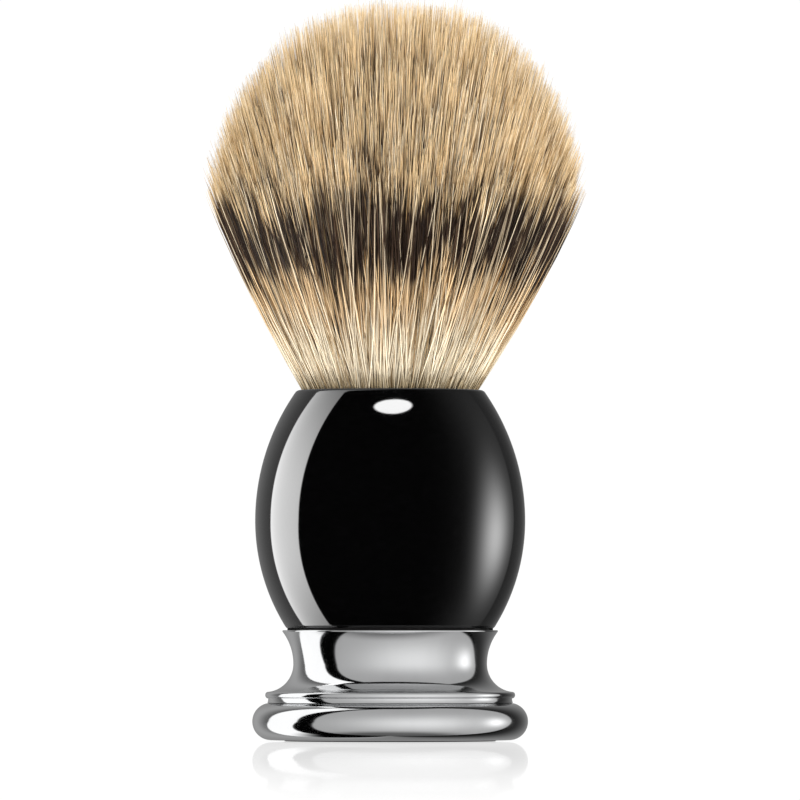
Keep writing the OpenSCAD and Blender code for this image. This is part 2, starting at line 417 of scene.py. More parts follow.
def metal_material(name, colour, roughness, ring_scale, blotch):
    """Turned or cast metal: lathe rings along the axis and uneven tarnish."""
    s = Shader(name)
    place = s.place()
    rings = s.noise(s.scaled(place, (0.15, 0.15, 1.0)), ring_scale, 3.0, 0.6)
    tarnish = s.noise(place, 260.0, 5.0, 0.62)
    dark = tuple(c * (1.0 - blotch) for c in colour)
    s.feed("Base Color", s.mixed(s.ranged(tarnish, 0.35, 0.7), colour, dark))
    s.feed("Roughness", s.maths("MULTIPLY_ADD", rings, 0.18, roughness - 0.09))
    s.bump(s.maths("MULTIPLY_ADD", rings, 0.7, s.times(tarnish, 0.5)), 0.25, 0.00005)
    s.set(Metallic=1.0)
    return s.material


def cast_material(name, colour, roughness, clear):
    """Cast resin, glue or plastic with small flow marks and bubbles."""
    s = Shader(name)
    place = s.place()
    flow = s.noise(place, 300.0, 4.0, 0.6)
    pits = s.noise(place, 1500.0, 2.0, 0.5)
    deep = tuple(c * 0.72 for c in colour)
    s.feed("Base Color", s.mixed(s.ranged(flow, 0.35, 0.7), colour, deep))
    s.feed("Roughness", s.maths("MULTIPLY_ADD", flow, 0.2, roughness - 0.1))
    s.bump(pits, 0.2, 0.00005)
    s.set(Transmission_Weight=clear, IOR=1.52)
    return s.material


def thread_material(colour):
    """Waxed thread: a twist of fine plies that runs slantwise round the winding."""
    s = Shader("Waxed_Thread")
    place = s.place()
    wave = s.node("TexWave")
    wave.inputs["Scale"].default_value = 1500.0
    wave.inputs["Distortion"].default_value = 2.0
    s.join(place, wave.inputs["Vector"])
    # Painted shade: the colour darkens in the grooves between the plies, where the bump sinks
    deep = tuple(c * 0.6 for c in colour)
    s.feed("Base Color", s.mixed(wave.outputs["Fac"], deep, colour))
    s.feed("Roughness", s.ranged(wave.outputs["Fac"], 0.0, 1.0, 0.7, 0.45, smooth=False))
    s.bump(wave.outputs["Fac"], 0.5, 0.0001)
    s.set(Specular_IOR_Level=0.45)
    return s.material


# Brightness of the floor's own glow and of the white surround that it mirrors
SURROUND = 1.04
# Distances from the axis between which the floor's gloss fades away
GLOSS_FADE = (0.1, 0.72)


def floor_material(look):
    """Pale tabletop: a matt colour that partly glows, with a soft gloss near the brush."""
    s = Shader("Pale_Floor")
    s.tree.nodes.remove(s.surface)
    matt = s.node("BsdfDiffuse")
    glow = s.node("Emission")
    gloss = s.node("BsdfGlossy")
    evened = s.node("MixShader")
    mix = s.node("MixShader")
    matt.inputs["Color"].default_value = (*look.floor_colour, 1.0)
    glow.inputs["Color"].default_value = (1.0, 1.0, 1.0, 1.0)
    glow.inputs["Strength"].default_value = SURROUND
    gloss.inputs["Color"].default_value = (1.0, 1.0, 1.0, 1.0)
    gloss.inputs["Roughness"].default_value = 0.02
    evened.inputs["Fac"].default_value = look.floor_glow
    away = s.node("VectorMath")
    away.operation = "LENGTH"
    s.join(s.place(), away.inputs[0])
    fading = s.ranged(away.outputs["Value"], *GLOSS_FADE, look.floor_gloss, 0.0)
    s.join(fading, mix.inputs["Fac"])
    s.join(matt.outputs[0], evened.inputs[1])
    s.join(glow.outputs[0], evened.inputs[2])
    s.join(evened.outputs[0], mix.inputs[1])
    s.join(gloss.outputs[0], mix.inputs[2])
    s.join(mix.outputs[0], s.output.inputs["Surface"])
    return s.material


# ---- turned pieces


def arc(centre_r, centre_z, radius, start, stop, steps):
    """Points of an arc in the outline's plane, with angles in degrees from the radius outward."""
    turn = np.radians(np.linspace(start, stop, steps + 1))
    return [(centre_r + radius * math.cos(a), centre_z + radius * math.sin(a)) for a in turn]


def arc_radius(rise, swing):
    """Radius of an arc that rises by one length while it swings sideways by the other."""
    return (rise * rise + swing * swing) / (2 * swing)


def corner(before, point, after, radius, steps=5):
    """A small round in place of an outline's corner."""
    p = Vector(point)
    a = (Vector(before) - p).normalized()
    b = (Vector(after) - p).normalized()
    half = a.angle(b) / 2
    reach = radius / math.tan(half)
    centre = p + (a + b).normalized() * (radius / math.sin(half))
    start = p + a * reach - centre
    stop = p + b * reach - centre
    ways = [start.lerp(stop, step / steps).normalized() * radius for step in range(steps + 1)]
    return [tuple(centre + way) for way in ways]


def lathe(name, outline, closed, segments=288):
    """A turned piece from points (radius, height); an open outline starts and ends on the axis."""
    mesh = bpy.data.meshes.new(name)
    shape = bmesh.new()
    rings = []
    for r, z in outline:
        if r < 1e-7:
            rings.append([shape.verts.new((0.0, 0.0, z))])
            continue
        ring = []
        for k in range(segments):
            turn = 2 * math.pi * k / segments
            ring.append(shape.verts.new((r * math.cos(turn), r * math.sin(turn), z)))
        rings.append(ring)
    pairs = list(zip(rings, rings[1:]))
    if closed:
        pairs.append((rings[-1], rings[0]))
    for low, high in pairs:
        for k in range(segments):
            n = (k + 1) % segments
            if len(low) == 1:
                shape.faces.new((low[0], high[n], high[k]))
            elif len(high) == 1:
                shape.faces.new((low[k], low[n], high[0]))
            else:
                shape.faces.new((low[k], low[n], high[n], high[k]))
    bmesh.ops.recalc_face_normals(shape, faces=shape.faces)
    shape.to_mesh(mesh)
    shape.free()
    mesh.shade_smooth()
    mesh.set_sharp_from_angle(angle=math.radians(32))
    return put(name, mesh)


def put(name, mesh):
    piece = bpy.data.objects.new(name, mesh)
    bpy.context.scene.collection.objects.link(piece)
    return piece


def finish_piece(piece, material, slot_name, *nodes):
    """Gives a piece its material, its body, its slot and the nodes that it stands for."""
    piece.data.materials.append(material)
    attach(piece, HANDLE_BODY)
    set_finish(piece, slot_name)
    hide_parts(*nodes)


def handle_outline(look):
    belly_z = HANDLE_FOOT + look.belly_height
    rise = MOUTH_Z - belly_z
    upper = arc_radius(rise, HANDLE_R - look.mouth_radius)
    lower = arc_radius(look.belly_height, HANDLE_R - look.foot_radius)
    round_r = look.edge_round
    round_z = MOUTH_Z - round_r
    round_mid = HANDLE_R - upper + math.sqrt((upper - round_r) ** 2 - (round_z - belly_z) ** 2)
    join = math.degrees(math.asin((round_z - belly_z) / (upper - round_r)))
    start = -math.degrees(math.asin(look.belly_height / lower))
    foot = (look.foot_radius, HANDLE_FOOT)
    low_edge = corner((BORE_R, HANDLE_FOOT), foot, (HANDLE_R, belly_z), FINE_EDGE)
    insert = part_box("threaded_insert")
    insert_r = radius_of("threaded_insert")
    bore_top = insert[1].z + MM
    outline = [(0.0, bore_top), (insert_r, bore_top), (insert_r, insert[0].z)]
    outline += [(BORE_R, insert[0].z), (BORE_R, HANDLE_FOOT)]
    outline += low_edge
    outline += arc(HANDLE_R - lower, belly_z, lower, start + 0.45, 0.0, 56)
    outline += arc(HANDLE_R - upper, belly_z, upper, 0.0, join, 60)[1:]
    outline += arc(round_mid, round_z, round_r, join, 90.0, 8)[1:]
    outline += [(SOCKET_R + FINE_EDGE, MOUTH_Z), (SOCKET_R, MOUTH_Z - FINE_EDGE)]
    outline += [(SOCKET_R, SOCKET_Z), (0.0, SOCKET_Z)]
    return outline


class BRUSH_OT_handle(bpy.types.Operator):
    """Turn the barrel-shaped black handle with its socket and bore"""

    bl_idname = "brush.handle"
    bl_label = "Handle"

    def execute(self, context):
        look = context.scene.brush_handle
        piece = lathe("handle_shell", handle_outline(look), closed=False)
        finish_piece(piece, resin_material(look), "black_resin", "handle")
        return {"FINISHED"}


def collar_outline(look):
    low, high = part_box("collar")
    foot = low.z
    top = foot_of("seam_seal")
    flare_r = radius_of("collar")
    lip_r = radius_of("seam_seal") + 0.0007
    waist_z = foot + look.lip + look.lower_curve
    rise = top - look.top_lip - waist_z
    upper = arc_radius(rise, lip_r - look.waist_radius)
    swing = math.degrees(math.asin(rise / upper))
    hole_r = 0.0032
    web_z = top - 0.0025
    flare = (flare_r, foot - look.flare_drop)
    rim_r = radius_of("step_ring") + 0.00006
    outline = [(CORE_R, foot), (rim_r, foot), (rim_r, foot - look.flare_drop)]
    upper_flare = (flare_r, foot + look.lip)
    inward = (flare_r - look.lip, foot + look.lip * 1.06)
    outline += corner(outline[-1], flare, upper_flare, look.flare_round)
    outline += corner(flare, upper_flare, inward, look.flare_round)
    outline += arc(flare_r, waist_z, look.lower_curve, 262.0, 180.0, 40)
    outline += arc(look.waist_radius + upper, waist_z, upper, 180.0, 180.0 - swing, 40)[1:]
    outline += corner((lip_r, top - look.top_lip), (lip_r, top), (SPIGOT_R, top), look.edge_round)
    outline += [(SPIGOT_R, top), (SPIGOT_R, high.z), (hole_r, high.z), (hole_r, web_z)]
    outline += [(CORE_R, web_z)]
    return outline


def step_outline(look):
    low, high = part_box("step_ring")
    outer = radius_of("step_ring")
    edge_r = outer - 0.00004
    middle = (low.z + high.z) / 2
    half = (high.z - low.z) / 2
    curve = arc_radius(half, look.hollow)
    swing = math.degrees(math.asin(half / curve)) * 0.96
    hollow = arc(outer - look.hollow + curve, middle, curve, 180.0 + swing, 180.0 - swing, 16)
    return [(CORE_R, low.z), (edge_r, low.z), *hollow, (edge_r, high.z), (CORE_R, high.z)]


def foot_outline(look):
    low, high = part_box("foot_ring")
    outer = radius_of("foot_ring")
    curve = (high.z - low.z) / 2
    recess_r = radius_of("base_cover") + FIT
    bore_r = WEIGHT_R + 2 * FIT
    recess_z = top_of("base_cover")
    lip_z = high.z - 0.00105
    tube = arc(outer - curve, low.z + curve, curve, -90.0, 90.0, 72)
    inner = [(CORE_R, high.z), (CORE_R, lip_z), (bore_r, lip_z), (bore_r, recess_z)]
    return [(recess_r, low.z), *tube, *inner, (recess_r, recess_z)]


class BRUSH_OT_base(bpy.types.Operator):
    """Turn the chromed collar, step and foot, and the seal and pad of black rubber"""

    bl_idname = "brush.base"
    bl_label = "Base"

    def execute(self, context):
        look = context.scene.brush_base
        chrome = chrome_material(look)
        rubber = rubber_material(look)
        collar = lathe("collar_shell", collar_outline(look), closed=True)
        finish_piece(collar, chrome, "chrome", "collar")
        step = lathe("step_shell", step_outline(look), closed=True)
        finish_piece(step, chrome, "chrome", "step_ring")
        foot = lathe("foot_shell", foot_outline(look), closed=True)
        finish_piece(foot, chrome, "chrome", "foot_ring")
        for node in ("seam_seal", "base_pad"):
            dress(node, rubber)
        return {"FINISHED"}


def dress(node, material):
    """Gives a node of the frame its material."""
    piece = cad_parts[node]
    piece.data.materials.clear()
    piece.data.materials.append(material)


class BRUSH_OT_core(bpy.types.Operator):
    """Dress the hidden pieces: the knot's holders, the insert, the weight and the fastening"""

    bl_idname = "brush.core"
    bl_label = "Inner Pieces"

    def execute(self, context):
        look = context.scene.brush_core
        steel = metal_material("Plated_Steel", look.steel_colour, 0.32, 2400.0, 0.12)
        iron = metal_material("Cast_Iron", look.iron_colour, 0.62, 900.0, 0.45)
        brass = metal_material("Turned_Brass", look.brass_colour, 0.3, 2000.0, 0.22)
        dress("knot_plug", cast_material("Knot_Resin", look.resin_colour, 0.35, 0.25))
        dress("glue_bed", cast_material("Glue", look.resin_colour, 0.45, 0.15))
        dress("knot_cup", cast_material("Cup_Plastic", look.cup_colour, 0.5, 0.0))
        dress("binding_thread", thread_material(look.thread_colour))
        dress("threaded_insert", brass)
        dress("base_weight", iron)
        for node in ("clamp_stud", "flat_washer", "spring_washer", "stud_nut", "base_cover"):
            dress(node, steel)
        return {"FINISHED"}


# ---- hair

# Where a hair's rings lie along it: -1 is its sunk end, 0 the mouth and 1 the tip
RINGS = np.array([-1.0, 0.0, 0.14, 0.32, 0.5, 0.68, 0.84, 0.94, 1.0])
SIDES = 3
LAYERS = 8
# Hairs beside and above each other on the texture's sheet
COLUMNS, ROWS = 256, 8
# Share of a ball's height, from its top, that the hairs' tips cover
DOME_REACH = 1.04
# The crown's fuller shoulder: its rise, and its middle and spread in degrees from the top
SHOULDER = (0.0009, 30, 15)
# Shares of the hairs that end short, stand out of the crown, are black, or have a low band
SHORT, LOOSE, BLACK, LOW_BAND = 0.3, 0.005, 0.006, 0.22
# Share of the locks that are pale, and of pale hairs in one
PALE_LOCK, PALE_IN_LOCK = 0.12, 0.5
# Farthest that a tip stands out, and how deep the hairs reach into the socket
LOOSE_REACH = 0.0024
SUNK = 0.004
# Spread of the hairs' slant round the axis in radians
SLANT = 0.085
# Spreads of a hair's waves and of its tip's curl
WAVE, CURL = 0.00014, 0.00022
# Spreads of the band's lower edge, and how far a low band goes on
LOWER_BY_LOCK, LOWER_BY_HAIR, LOWER_REACH = 0.0012, 0.0015, 0.0024
# Spreads of the band's upper edge
UPPER_BY_LOCK, UPPER_BY_HAIR = 0.0018, 0.0017
# How much lower the band lies at the left and right
SIDE_DROP = 0.0010


def wander(azimuth, rng, waves, reach):
    """A smooth random function round the axis, for uneven edges of the band."""
    total = np.zeros_like(azimuth)
    for wave in waves:
        total += rng.normal(0.0, 1.0) * np.sin(wave * azimuth + rng.uniform(0, 2 * math.pi))
    return total * reach / math.sqrt(len(waves))


def unit(vectors):
    return vectors / np.linalg.norm(vectors, axis=-1, keepdims=True)


def dome_point(angle, azimuth, radius):
    """A point on the crown, an angle down from its top."""
    side = radius * np.sin(angle)
    return np.stack(
        [side * np.cos(azimuth), side * np.sin(azimuth), CROWN_Z + radius * np.cos(angle)], -1
    )


def grow_hairs(look):
    """Centre lines and the facts of every hair, from the core outward."""
    rng = np.random.default_rng(look.seed)
    count = look.hairs
    order = (np.arange(count) + rng.uniform(0, 1, count)) / count
    azimuth = rng.uniform(0, 2 * math.pi, count)
    angle = np.arccos(1 - DOME_REACH * order)
    lock_angle = np.arccos(1 - DOME_REACH * rng.uniform(0, 1, look.locks))
    lock_azimuth = rng.uniform(0, 2 * math.pi, look.locks)
    lock_tip = dome_point(lock_angle, lock_azimuth, CROWN_R)
    tips = dome_point(angle, azimuth, CROWN_R)
    nearest = np.empty(count, int)
    for start in range(0, count, 2000):
        gap = np.linalg.norm(tips[start : start + 2000, None] - lock_tip[None], axis=2)
        nearest[start : start + 2000] = gap.argmin(1)
    lock_reach = rng.normal(0, 0.5, look.locks)
    reach = rng.normal(0, 0.5, count) + lock_reach[nearest]
    short = rng.uniform(0, 1, count) < SHORT
    reach = reach - short * rng.exponential(1.8, count)
    rise, middle, spread = SHOULDER
    shoulder = rise * np.exp(-(((np.degrees(angle) - middle) / spread) ** 2))
    stray = rng.uniform(0, 1, count) < LOOSE
    radius = CROWN_R - 0.0002 + shoulder + look.unevenness * reach
    radius = radius + stray * rng.uniform(0.0005, 0.002, count)
    tips = dome_point(angle, azimuth, np.minimum(radius, CROWN_R + LOOSE_REACH))

    root_order = np.clip(order + rng.normal(0, 0.03, count), 0, 1)
    root_order = np.where(root_order > 0.985, rng.uniform(0.9, 0.985, count), root_order)
    root_azimuth = azimuth + rng.normal(0, SLANT, count)
    root_r = (SOCKET_R - 0.0001) * np.sqrt(root_order)
    root_ray = np.stack([np.cos(root_azimuth), np.sin(root_azimuth), np.zeros(count)], -1)
    mouth = root_ray * root_r[:, None] + np.array([0, 0, MOUTH_Z])
    sunk = root_ray * (root_r[:, None] * 0.985) + np.array([0, 0, MOUTH_Z - SUNK])
    ray = np.stack([np.cos(azimuth), np.sin(azimuth), np.zeros(count)], -1)
    across = np.stack([-np.sin(azimuth), np.cos(azimuth), np.zeros(count)], -1)

    t = RINGS[1:][None, :, None]
    line = (1 - t) * mouth[:, None] + t * tips[:, None]
    bow = look.bulge * 4.0 * order[:, None, None] * t * (1 - t)
    line = line + bow * ray[:, None]
    pull = look.gathering * rng.uniform(0.2, 1.3, count)[:, None, None] * t**2.2
    towards = lock_tip[nearest][:, None] - tips[:, None]
    line = line + pull * towards * np.array([1, 1, 0.45])
    black = rng.uniform(0, 1, count) < BLACK
    drift = rng.normal(0, look.crossing, (count, 1, 1)) * (1 + 1.5 * stray + black)[:, None, None]
    line = line + drift * across[:, None] * t**1.4
    phase = rng.uniform(0, 2 * math.pi, (count, 1, 1))
    wave = rng.normal(0, WAVE, (count, 1, 1)) * np.sin(phase + 6.0 * t) * t
    line = line + wave * across[:, None]
    curl = rng.normal(0, CURL, (count, 1, 3))
    line = line + curl * t**3
    line[:, :, 0] += look.lean * (line[:, :, 2] - MOUTH_Z) / (CROWN_TOP - MOUTH_Z)
    line = np.concatenate([sunk[:, None], line], 1)

    lock_shift = rng.normal(0, LOWER_BY_LOCK, look.locks)
    shift = lock_shift[nearest] + rng.normal(0, LOWER_BY_HAIR, count)
    low = rng.uniform(0, 1, count) < LOW_BAND
    shift = shift + low * rng.exponential(LOWER_REACH, count)
    shift += wander(azimuth, rng, (3, 5, 8, 13, 21, 34), 0.0007)
    above_rim = tips[:, 2] - CROWN_Z
    tip_end = np.clip(look.rim_tip_length + 0.5 * above_rim, 0.0005, look.tip_length)
    tip_end = tip_end + rng.normal(0, UPPER_BY_HAIR, count)
    tip_end = tip_end + rng.normal(0, UPPER_BY_LOCK, look.locks)[nearest]
    side_drop = SIDE_DROP * np.abs(np.cos(azimuth)) ** 3
    tip_end += wander(azimuth, rng, (4, 7, 12, 19, 31), 0.0008) + side_drop * (order > 0.6)
    lock_pale = rng.uniform(0, 1, look.locks) < PALE_LOCK
    pale_chance = np.where(lock_pale[nearest], PALE_IN_LOCK, look.pale_share)
    pale = rng.uniform(0, 1, count) < pale_chance
    lock_tone = rng.uniform(-0.18, 0.18, look.locks)
    tone = np.clip(rng.uniform(0, 1, count) ** 0.8 + lock_tone[nearest], 0, 1)
    tone = np.where(black, -0.55, tone)
    facts = {
        "shift": shift + side_drop * order * 0.4,
        "tip_end": np.maximum(tip_end, 0.0004),
        "pale": pale * ~black * rng.uniform(0.5, 1.0, count),
        "tone": tone,
        "depth": np.clip(1 - order**3, 0, 1),
    }
    return line, facts, rng.uniform(0, 2 * math.pi, count)


def hair_piece(name, line, facts, twist, look):
    """One mesh of closed three-sided hairs, each with its own strip of the texture's sheet."""
    count, rings, _ = line.shape
    tangent = unit(np.gradient(line, axis=1))
    first = unit(np.cross(tangent, np.array([0.31, 0.95, 0.02])))
    second = np.cross(tangent, first)
    step = np.linalg.norm(np.diff(line, axis=1), axis=2)
    along = np.concatenate([np.zeros((count, 1)), np.cumsum(step, 1)], 1)
    from_tip = along[:, -1:] - along
    girth = np.interp(RINGS, [-1, 0, 0.5, 0.8, 1.0], [0.56, 0.64, 1.0, 0.9, 0.0])
    radius = look.thickness / 2 * girth + look.tip_thickness / 2 * (1 - girth)
    radius = radius[None, :] * (0.82 + 0.36 * facts["tone"][:, None])
    turn = twist[:, None, None] + 2 * math.pi * np.arange(SIDES)[None, None, :] / SIDES
    offset = np.cos(turn)[..., None] * first[:, :, None] + np.sin(turn)[..., None] * second[:, :, None]
    points = line[:, :, None] + offset * radius[:, :, None, None]

    index = np.arange(count * rings * SIDES).reshape(count, rings, SIDES)
    after = np.roll(index, -1, axis=2)
    quads = np.stack([index[:, :-1], after[:, :-1], after[:, 1:], index[:, 1:]], -1).reshape(-1, 4)
    low_caps = index[:, 0, ::-1]
    high_caps = index[:, -1]
    loops = np.concatenate([quads.ravel(), low_caps.ravel(), high_caps.ravel()])
    starts = np.concatenate(
        [np.arange(len(quads)) * 4, len(quads) * 4 + np.arange(2 * count) * SIDES]
    )
    mesh = bpy.data.meshes.new(name)
    mesh.vertices.add(points.size // 3)
    mesh.vertices.foreach_set("co", points.astype(np.float32).ravel())
    mesh.loops.add(len(loops))
    mesh.loops.foreach_set("vertex_index", loops.astype(np.int32))
    mesh.polygons.add(len(starts))
    mesh.polygons.foreach_set("loop_start", starts.astype(np.int32))
    mesh.polygons.foreach_set("use_smooth", np.ones(len(starts), bool))
    mesh.update(calc_edges=True)

    cell = np.arange(count)
    left = (cell % COLUMNS) / COLUMNS
    bottom = (cell // COLUMNS) / ROWS
    share_along = along / along[:, -1:]
    side = (np.arange(SIDES) + 0.5) / SIDES
    u = left[:, None, None] + (0.3 + 0.4 * side[None, None, :]) / COLUMNS
    v = bottom[:, None, None] + (0.02 + 0.96 * share_along[:, :, None]) / ROWS
    sheet = np.stack(np.broadcast_arrays(u, v), -1).reshape(-1, 2)
    layer = mesh.uv_layers.new(name="OFBake")
    layer.data.foreach_set("uv", sheet[loops].astype(np.float32).ravel())
    values = {k: np.repeat(v, rings * SIDES) for k, v in facts.items()}
    values["from_tip"] = np.repeat(from_tip.ravel(), SIDES)
    values["height"] = np.repeat(line[:, :, 2].ravel(), SIDES)
    for key, value in values.items():
        attribute = mesh.attributes.new(key, "FLOAT", "POINT")
        attribute.data.foreach_set("value", value.astype(np.float32))
    return put(name, mesh)


class BRUSH_OT_tuft(bpy.types.Operator):
    """Grow the tuft: banded hairs in layers from the core outward"""

    bl_idname = "brush.tuft"
    bl_label = "Tuft"

    def execute(self, context):
        look = context.scene.brush_tuft
        material = hair_material(look)
        line, facts, twist = grow_hairs(look)
        edges = np.linspace(0, len(line), LAYERS + 1).astype(int)
        for layer, (start, stop) in enumerate(zip(edges, edges[1:]), 1):
            part = slice(start, stop)
            own = {k: v[part] for k, v in facts.items()}
            piece = hair_piece(f"hair_layer_{layer}", line[part], own, twist[part], look)
            piece.data.materials.append(material)
            piece.visible_glossy = False
            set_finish(piece, "hair")
            if layer == LAYERS:
                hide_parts("hair_tuft", "hair_root")
            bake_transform(piece)
        return {"FINISHED"}


# ---- stage


def lamp(name, place, aim_z, width, height, radiance, receivers):
    """A soft panel light for some of the pieces, which the camera doesn't see."""
    data = bpy.data.lights.new(name, "AREA")
    data.shape = "RECTANGLE"
    data.size = width
    data.size_y = height
    data.energy = radiance * math.pi * (width * height)
    light = bpy.data.objects.new(name, data)
    light.location = place
    aim = Vector((0, 0, aim_z)) - Vector(place)
    light.rotation_euler = aim.to_track_quat("-Z", "Y").to_euler()
    light.visible_camera = False
    bpy.context.scene.collection.objects.link(light)
    light.light_linking.receiver_collection = receivers


def around(azimuth, elevation, distance, centre_z=0.04):
    """A point round the brush: azimuth 0 is towards the front and 90 towards the left."""
    a = math.radians(azimuth)
    e = math.radians(elevation)
    return (
        -distance * math.sin(a) * math.cos(e),
        -distance * math.cos(a) * math.cos(e),
        centre_z + distance * math.sin(e),
    )


# The domes have radii of their own, so that no two lie on each other
RESIN_DOME_R = 1.2
CHROME_DOME_R = 1.35
FLOOR_DOME_R = 1.5
DOME_CENTRE = 0.045


class Dome(Shader):
    """A glowing dome that only some pieces mirror, with its lights set by direction in degrees."""

    def __init__(self, name):
        super().__init__(name)
        split = self.node("SeparateXYZ")
        place = self.node("VectorMath")
        place.operation = "NORMALIZE"
        self.join(self.place(), place.inputs[0])
        self.join(place.outputs[0], split.inputs[0])
        x, y, z = split.outputs
        flat = self.maths("ARCTAN2", self.times(x, -1.0), self.times(y, -1.0))
        self.direction = place.outputs[0]
        self.azimuth = self.times(flat, 180 / math.pi)
        self.elevation = self.times(self.maths("ARCSINE", z), 180 / math.pi)
        self.total = 0.0

    def add(self, strength, *shapes):
        part = strength
        for shape in shapes:
            part = self.times(shape, part)
        self.total = self.maths("ADD", part, self.total)

    def between(self, low, high, soft=1.0, shear=0.0):
        """One inside a range of azimuth, with soft edges that lean below the level by the shear."""
        azimuth = self.azimuth
        if shear:
            below = self.maths("MAXIMUM", self.times(self.elevation, -1.0), 0.0)
            azimuth = self.maths("MULTIPLY_ADD", below, -shear, azimuth)
        up = self.ranged(azimuth, low - soft, low + soft)
        down = self.ranged(azimuth, high - soft, high + soft, 1.0, 0.0)
        return self.times(up, down)

    def above(self, low, high, left=0.0):
        """Fades in from a lower to a higher elevation."""
        return self.ranged(self.elevation, low, high, left, 1.0)

    def fade(self, start, stop, left):
        """Falls from one to what is left as the height turns away from level."""
        return self.ranged(self.maths("ABSOLUTE", self.elevation), start, stop, 1.0, left)

    def spot(self, azimuth, elevation, wide, tall):
        """A round glow that fades outward."""
        a = self.maths("DIVIDE", self.maths("SUBTRACT", self.azimuth, azimuth), wide)
        e = self.maths("DIVIDE", self.maths("SUBTRACT", self.elevation, elevation), tall)
        away = self.maths("ADD", self.times(a, a), self.times(e, e))
        return self.maths("POWER", math.e, self.times(away, -0.5))

    def towards(self, axis):
        """How far the mirrored direction points along an axis."""
        dot = self.node("VectorMath")
        dot.operation = "DOT_PRODUCT"
        self.join(self.direction, dot.inputs[0])
        dot.inputs[1].default_value = axis
        return dot.outputs["Value"]

    def oval(self, azimuth, elevation, wide, tall, soft, bend):
        """A lamp with a nearly sharp edge, bent so that a round barrel mirrors it as an oval.

        Only the first mirroring shows it, so it doesn't show again in the collar's waist.
        """
        middle = Vector(around(azimuth, elevation, 1.0, 0.0))
        across = middle.cross(Vector((0, 0, 1))).normalized()
        upward = across.cross(middle).normalized()
        sideways = self.towards(across)
        beside = self.times(sideways, sideways)
        raised = self.maths("MULTIPLY_ADD", beside, -bend, self.towards(upward))
        raised = self.maths("DIVIDE", raised, tall)
        beside = self.maths("DIVIDE", beside, wide * wide)
        away = self.maths("MULTIPLY_ADD", raised, raised, beside)
        lit = self.ranged(away, 1.0 - soft, 1.0, 1.0, 0.0)
        facing = self.ranged(self.towards(middle), 0.0, 0.1)
        rays = self.node("LightPath")
        first = self.maths("LESS_THAN", rays.outputs["Ray Depth"], 1.5)
        return self.times(self.times(lit, facing), first)

    def raise_dome(self, receivers, radius):
        """Builds the dome round the brush, seen by mirrored rays alone."""
        glow = self.node("Emission")
        clear = self.node("BsdfTransparent")
        both = self.node("AddShader")
        self.join(self.total, glow.inputs["Strength"])
        self.join(glow.outputs[0], both.inputs[0])
        self.join(clear.outputs[0], both.inputs[1])
        self.join(both.outputs[0], self.output.inputs["Surface"])
        self.tree.nodes.remove(self.surface)
        mesh = bpy.data.meshes.new(self.material.name)
        shape = bmesh.new()
        bmesh.ops.create_icosphere(shape, subdivisions=5, radius=radius)
        shape.to_mesh(mesh)
        shape.free()
        mesh.materials.append(self.material)
        dome = put(self.material.name.lower(), mesh)
        dome.location.z = DOME_CENTRE
        for rays in ("camera", "diffuse", "transmission", "volume_scatter", "shadow"):
            setattr(dome, f"visible_{rays}", False)
        dome.light_linking.receiver_collection = receivers
        dome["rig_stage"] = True


def resin_dome(receivers, level):
    """Lights that the black handle mirrors: a tall strip, a small top lamp and a soft round one."""
    dome = Dome("Resin_Lights")
    even = dome.ranged(dome.azimuth, 84.0, 123.0, 1.12, 0.9)
    dome.add(9.6 * level, dome.between(84.5, 123, 0.8, 0.12), dome.fade(8.0, 66.0, 0.24), even)
    right_side = dome.between(-131, 0, 1.2)
    dome.add(7.4 * level, dome.spot(-100, -6, 11, 11.5), right_side)
    dome.add(0.42 * level, dome.spot(-108, -6, 25, 42), right_side)
    dome.add(22.0 * level, dome.oval(-5, 60.3, 0.285, 0.080, 0.3, 0.55))
    left = dome.ranged(dome.azimuth, 140, 180, 1.0, 0.6)
    dome.add(0.40 * level, dome.between(123, 190, 0.8, 0.12), left)
    right = dome.ranged(dome.azimuth, -180, -140, 1.0, 0.62)
    dome.add(0.24 * level, dome.between(-190, -131, 1.2), right)
    dome.raise_dome(receivers, RESIN_DOME_R)


def chrome_dome(receivers, level):
    """Lights that the plating mirrors: a pale front, a white strip beside a dark gap, and a spot."""
    dome = Dome("Chrome_Lights")
    strip = dome.between(84, 122, 0.8, 0.42)
    dome.add(1.5 * level, strip, dome.above(-60, -40), dome.fade(62.0, 84.0, 0.0))
    front = dome.between(-122, 66, 1.5, 0.2)
    dome.add(0.52 * level, front, dome.above(-72, -48, 0.25))
    dome.add(0.58 * level, dome.spot(-28, -8, 40, 29), front)
    dome.add(1.1 * level, dome.spot(-100, -4, 9, 11))
    left = dome.ranged(dome.azimuth, 122, 150, 0.35, 1.0)
    behind = dome.ranged(dome.azimuth, 150, 180, 1.0, 0.65)
    dome.add(0.44 * level, dome.between(122, 190, 0.8, 0.42), left, behind)
    right = dome.ranged(dome.azimuth, -180, -124, 1.0, 0.08)
    dome.add(0.286 * level, dome.between(-190, -122, 1.2), right)
    dome.raise_dome(receivers, CHROME_DOME_R)


def floor_dome(receivers):
    """The white surround that the floor's gloss mirrors."""
    dome = Dome("Floor_Lights")
    dome.add(SURROUND, dome.between(-200, 200))
    dome.raise_dome(receivers, FLOOR_DOME_R)


def group(name, pieces):
    """A collection outside the scene that only says which pieces a light falls on."""
    collection = bpy.data.collections.new(name)
    for piece in pieces:
        collection.objects.link(piece)
    return collection


# Strength of the white that the camera sees behind the brush
EYE_WHITE = 1.02
# Half the side of the floor, and how far it lies below the brush
FLOOR_HALF = 12.0
FLOOR_SINK = 0.00002
LAMP_DISTANCE = 0.9


